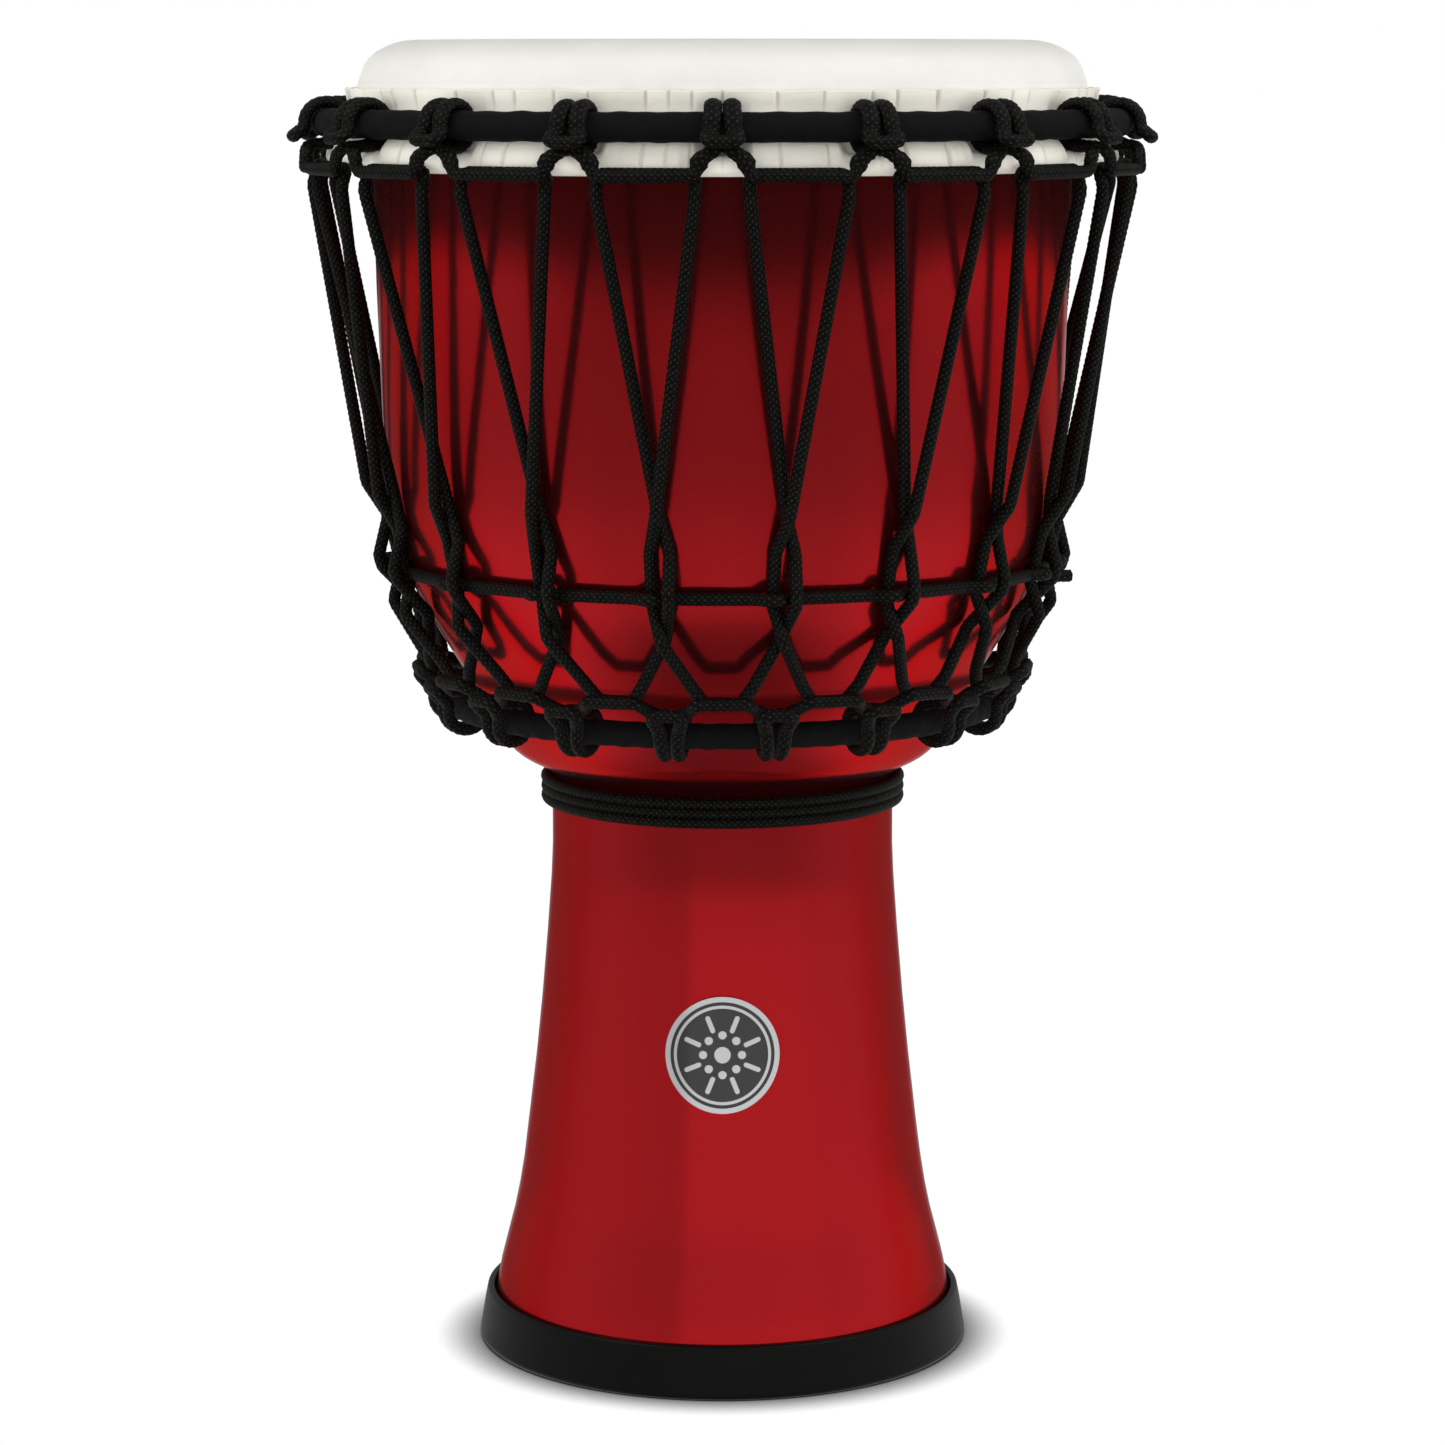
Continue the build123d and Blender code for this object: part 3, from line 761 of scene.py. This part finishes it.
def make_skirt():
    """The skin folded back outside the flesh ring and up to its trimmed edge, gathered at each hitch."""
    bend = FLESH_TUBE + CLEAR
    gathered = [(FLESH_R - 0.2, UNDER, 0), (FAR, UNDER, bend), (FAR, ABOVE, bend), (NEAR, ABOVE, 1.1),
                (COLLAR + 0.2, ABOVE + 2.0, 1.5), (COLLAR + 0.2, 301.4, 3), (91.7, SKIRT_TOP, 0)]
    loose = [(FLESH_R - 0.2, UNDER, 0), (FAR, UNDER, bend), (FAR + 0.3, FLESH_Z + 0.6, 3), (95.7, 292.0, 3),
             (93.4, 294.6, 4), (92.0, 298.5, 6), (91.3, 301.8, 4), (91.9, SKIRT_TOP, 0)]
    held, free = [sheet(even_profile(corners, 62))[None] for corners in (gathered, loose)]
    rows = 2160
    azimuths = np.arange(rows)[:, None] / rows * 2 * pi
    hold = np.clip(np.cos(azimuths * HITCHES) * 1.5 - 0.35, 0, 1)[..., None]
    hold = hold * hold * (3 - 2 * hold)
    grid = np.repeat(held, rows, 0) * hold + np.repeat(free, rows, 0) * (1 - hold)
    edge = np.clip((grid[..., 1] - EDGE_FROM) / 5, 0, 1)
    wrap = np.clip((grid[..., 1] - UNDER) / 2, 0, 1) * np.clip((WRAP_TO - grid[..., 1]) / 3, 0, 1)
    stand, stain, crease = pleats(azimuths, 21)
    loose_wrap = wrap * (1 - 0.8 * hold[..., 0])
    grid[..., 0] += 0.6 * edge * (stand - crease) + 0.5 * loose_wrap * (stand - 1.3 * crease)
    grid[..., 1] += 0.5 * edge ** 2 * (stand - 0.5)
    grid[..., 0] += 0.05 * wrap * waves(azimuths, 0 * azimuths, 8, (60, 300), (0, 1), 8)
    # Real stains per panel, plus painted shade that darkens the creases between panels, on the wrapped part
    # and the upper edge.
    stain_and_crease_shade = (stain + 0.4 * crease) * np.maximum(edge, 0.6 * wrap)
    return grid_mesh("drum_head_skirt", turned_grid(grid, azimuths), True, True,
                     size=(2 * pi * COLLAR, 60), values=stain_and_crease_shade)


# ---- foot

def make_foot():
    """A rubber ring with a groove for the shell's open end. Its section starts and ends on the floor."""
    profile = profile_points([
        (53.0, 0.0, 0), (59.7, 0.0, 1.2), (58.3, 8.5, 30.0), (57.6, 12.1, 0.8), (55.8, 12.1, 0.6),
        (57.4, 2.3, 0.3), (51.6, 2.3, 0.3), (50.1, 11.2, 0.5), (48.1, 11.2, 0.8), (48.8, 0.0, 1.0),
        (53.0, 0.0, 0),
    ], 0.35)[:-1]
    rows = 300
    azimuths = np.arange(rows)[:, None] / rows * 2 * pi
    grid = np.repeat(profile[None], rows, 0)
    return grid_mesh("foot_ring_rubber", turned_grid(grid, azimuths), True, True, size=(2 * pi * 58, 60))


# ---- pieces

for piece in make_top_loops():
    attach(finish_piece(piece, "cord", "top_loop_rope"), "tuning_hoops")
# The bottom loops and their ring stay out of the reflections, because the real bowl hardly mirrors them.
for piece in make_bottom_loops():
    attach(finish_piece(piece, "cord", "bottom_loop_rope"), "shell")
    piece.visible_glossy = False
for piece in make_tension_cord():
    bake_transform(finish_piece(piece, "cord", "tension_rope"))
for piece in make_tuning_row():
    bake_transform(finish_piece(piece, "cord", "tuning_row_rope"))
for piece in make_neck_wrap():
    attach(finish_piece(piece, "cord", "neck_wrap_rope"), "shell")

crown = make_sleeve("crown_ring_fabric", "crown_ring_sleeve", 0, 225, 31)
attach(finish_piece(crown, "sleeve_fabric", "crown_ring_sleeve"), "tuning_hoops")
base = make_sleeve("bottom_ring_fabric", "bottom_ring_sleeve", PITCH / 2, 150, 32)
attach(finish_piece(base, "sleeve_fabric", "bottom_ring_sleeve"), "shell")
base.visible_glossy = False

head = finish_piece(make_head(), "skin", "drum_head")
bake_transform(head)
skirt = finish_piece(make_skirt(), "skin", "drum_head")
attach(skirt, "tuning_hoops")
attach(finish_piece(make_foot(), "foot_rubber", "foot_ring"), "shell")

SLOT_OF = {part["node"]: part["material_slot"] for part in frame["record"]["subparts"]}
for node in ("shell", "flesh_ring", "crown_ring_core", "bottom_ring_core",
             "badge_casting", "badge_enamel", "badge_adhesive"):
    thing = frame["nodes"][node]
    thing.data.materials.clear()
    thing.data.materials.append(MATERIALS[SLOT_OF[node]])


# ---- studio

SHADOW_REACH = 0.012      # metres that the contact shadow reaches out from the foot
SHADOW_POWER = 3.0        # and how steeply it darkens
FLAG_R = 260.0            # radius of the dark band that the bowl reflects


def make_floor():
    """White to the camera, with a soft shadow where the foot stands, and pale paper to everything else."""
    bpy.ops.mesh.primitive_plane_add(size=30)
    floor = bpy.context.object
    floor.name = "floor"
    floor.visible_glossy = False
    material = bpy.data.materials.new("floor")
    material.use_nodes = True
    tree = material.node_tree
    tree.nodes.remove(tree.nodes["Principled BSDF"])
    paper = tree.nodes.new("ShaderNodeBsdfDiffuse")
    paper.inputs["Color"].default_value = (0.9, 0.9, 0.9, 1)
    contact = add_node(tree, "ShaderNodeAmbientOcclusion", distance=SHADOW_REACH)
    contact.samples = 16
    shadow = math_node(tree, "POWER", contact.outputs["AO"], SHADOW_POWER)
    seen = tree.nodes.new("ShaderNodeEmission")
    tree.links.new(math_node(tree, "MULTIPLY", shadow, 1.02), seen.inputs["Strength"])
    path = tree.nodes.new("ShaderNodeLightPath")
    mix = tree.nodes.new("ShaderNodeMixShader")
    tree.links.new(path.outputs["Is Camera Ray"], mix.inputs["Fac"])
    tree.links.new(paper.outputs["BSDF"], mix.inputs[1])
    tree.links.new(seen.outputs["Emission"], mix.inputs[2])
    tree.links.new(mix.outputs["Shader"], tree.nodes["Material Output"].inputs["Surface"])
    floor.data.materials.append(material)


def make_flag():
    """A dark band around the drum, seen only as the dark upper zone of the bowl's reflections."""
    rows = 120
    azimuths = np.arange(rows)[:, None] / rows * 2 * pi
    sideways = np.sin(azimuths[:, 0]) ** 2    # its lower edge is clear, and stands higher at the sides
    heights = np.stack([226 + 24 * sideways, 248 + 10 * sideways, 262 + 0 * sideways, 310 + 0 * sideways], 1)
    profile = np.stack([np.full_like(heights, FLAG_R), heights], 2)
    cover = np.repeat(np.array([[0.0, 0.95, 1.0, 1.0]]), rows, 0)
    flag = grid_mesh("flag", turned_grid(profile, azimuths), True, False, values=cover)
    flag.visible_camera = flag.visible_diffuse = flag.visible_shadow = flag.visible_transmission = False
    material = bpy.data.materials.new("flag")
    material.use_nodes = True
    tree = material.node_tree
    tree.nodes.remove(tree.nodes["Principled BSDF"])
    amount = tree.nodes.new("ShaderNodeAttribute")
    amount.attribute_name = "relief"
    clear = tree.nodes.new("ShaderNodeBsdfTransparent")
    dark = add_node(tree, "ShaderNodeEmission", strength=0.02)
    mix = tree.nodes.new("ShaderNodeMixShader")
    tree.links.new(amount.outputs["Fac"], mix.inputs["Fac"])
    tree.links.new(clear.outputs["BSDF"], mix.inputs[1])
    tree.links.new(dark.outputs["Emission"], mix.inputs[2])
    tree.links.new(mix.outputs["Shader"], tree.nodes["Material Output"].inputs["Surface"])
    flag.data.materials.append(material)


def make_world():
    """White to the camera, an even dim dome for soft light, and a room of pale cards in reflections."""
    world = bpy.data.worlds.new("studio")
    bpy.context.scene.world = world
    world.use_nodes = True
    tree = world.node_tree
    backdrop = tree.nodes["Background"]
    backdrop.inputs["Color"].default_value = (1, 1, 1, 1)
    direction = tree.nodes.new("ShaderNodeTexCoord")
    split = tree.nodes.new("ShaderNodeSeparateXYZ")
    tree.links.new(direction.outputs["Generated"], split.inputs["Vector"])
    front = math_node(tree, "MULTIPLY", split.outputs["Y"], -1.0)
    angle = math_node(tree, "ARCTAN2", split.outputs["X"], front)
    turn = math_node(tree, "MULTIPLY_ADD", angle, 1 / (2 * pi), 0.5)
    # The cards that stand around the drum, the table below them, and how both fade with height
    cards = around_ramp(tree, turn, [(-180, 0.5), (-110, 0.55), (-80, 0.63), (-21.5, 0.56), (-20.3, 0.78),
                                     (48, 0.8), (58, 0.74), (110, 0.76), (180, 0.5)])
    table = around_ramp(tree, turn, [(-180, 0.8), (-105, 0.95), (-75, 0.85), (-40, 0.56), (0, 0.6),
                                     (40, 0.56), (75, 0.85), (105, 0.95), (180, 0.8)])
    height = math_node(tree, "MULTIPLY_ADD", split.outputs["Z"], 0.5, 0.5)
    above = rise_ramp(tree, height, [(-0.126, 0.0), (-0.091, 1.0)])
    near = rise_ramp(tree, height, [(-1.0, 0.34), (-0.92, 0.36), (-0.8, 0.9), (-0.7, 1.0), (-0.4, 0.85),
                                    (-0.25, 0.62), (-0.14, 0.44), (-0.126, 0.44), (-0.091, 1.0), (0.02, 1.0),
                                    (0.22, 0.8), (1.0, 0.75)])
    room = blend_colors(tree, above, table, cards)
    shaded = blend_colors(tree, 1.0, room, near, "MULTIPLY")
    reflected = add_node(tree, "ShaderNodeBackground", strength=1.0)
    tree.links.new(shaded, reflected.inputs["Color"])
    dome = add_node(tree, "ShaderNodeBackground", strength=0.2)
    dome.inputs["Color"].default_value = (1, 1, 1, 1)
    path = tree.nodes.new("ShaderNodeLightPath")
    soft = tree.nodes.new("ShaderNodeMixShader")
    tree.links.new(path.outputs["Is Glossy Ray"], soft.inputs["Fac"])
    tree.links.new(dome.outputs["Background"], soft.inputs[1])
    tree.links.new(reflected.outputs["Background"], soft.inputs[2])
    mix = tree.nodes.new("ShaderNodeMixShader")
    tree.links.new(path.outputs["Is Camera Ray"], mix.inputs["Fac"])
    tree.links.new(soft.outputs["Shader"], mix.inputs[1])
    tree.links.new(backdrop.outputs["Background"], mix.inputs[2])
    tree.links.new(mix.outputs["Shader"], tree.nodes["World Output"].inputs["Surface"])


LIT_Z = 0.16              # height in metres that the lights face


def add_light(name, azimuth, elevation, distance, width, height, power, reflected=False):
    """A soft box that faces the middle of the drum."""
    light = bpy.data.lights.new(name, "AREA")
    light.shape = "RECTANGLE"
    light.size, light.size_y = width, height
    light.energy = power
    lamp = bpy.data.objects.new(name, light)
    bpy.context.scene.collection.objects.link(lamp)
    flat = distance * cos(radians(elevation))
    lamp.location = (flat * sin(radians(azimuth)), -flat * cos(radians(azimuth)),
                     LIT_Z + distance * sin(radians(elevation)))
    lamp.rotation_euler = (radians(90 - elevation), 0, radians(azimuth))
    lamp.visible_camera = False
    lamp.visible_glossy = reflected


CAMERA_PLACE = (0, -1.078, 0.3126)  # metres
LENS_SHIFT = -0.4585      # as a share of the frame's width
NEARBY = 0.001            # metres up or down from its place at which the camera's lens is centred again


def make_camera():
    """A level view camera with its lens lowered, so that the drum's upright lines stay upright.

    The lens is centred again wherever else the camera is put."""
    camera = bpy.data.cameras.new("camera")
    camera.sensor_width = 36
    camera.lens = 108.9
    camera_object = bpy.data.objects.new("camera", camera)
    camera_object.location = CAMERA_PLACE
    camera_object.rotation_euler = (radians(90), 0, 0)
    bpy.context.scene.collection.objects.link(camera_object)
    bpy.context.scene.camera = camera_object
    curve = camera.driver_add("shift_y")
    for modifier in list(curve.modifiers):
        curve.modifiers.remove(modifier)
    steps = ((-NEARBY, 0), (0, LENS_SHIFT), (NEARBY, 0))
    curve.keyframe_points.add(len(steps))
    for point, (rise, shift) in zip(curve.keyframe_points, steps):
        point.co = (CAMERA_PLACE[2] + rise, shift)
        point.interpolation = "LINEAR"
    curve.driver.type = "AVERAGE"
    place = curve.driver.variables.new()
    place.type = "TRANSFORMS"
    place.targets[0].id = camera_object
    place.targets[0].transform_type = "LOC_Z"


make_floor()
make_flag()
make_world()
for azimuth in (0, 90, 180, 270):
    add_light(f"fill_{azimuth}", azimuth, 9, 1.9, 2.2, 0.9, 19)
add_light("top_fill", 0, 85, 1.6, 1.4, 1.4, 5)
add_light("left_box", -62, 45, 1.5, 0.5, 0.5, 5, True)
add_light("right_box", 62, 45, 1.5, 0.5, 0.5, 5, True)
make_camera()
bpy.context.scene.view_settings.view_transform = "Standard"
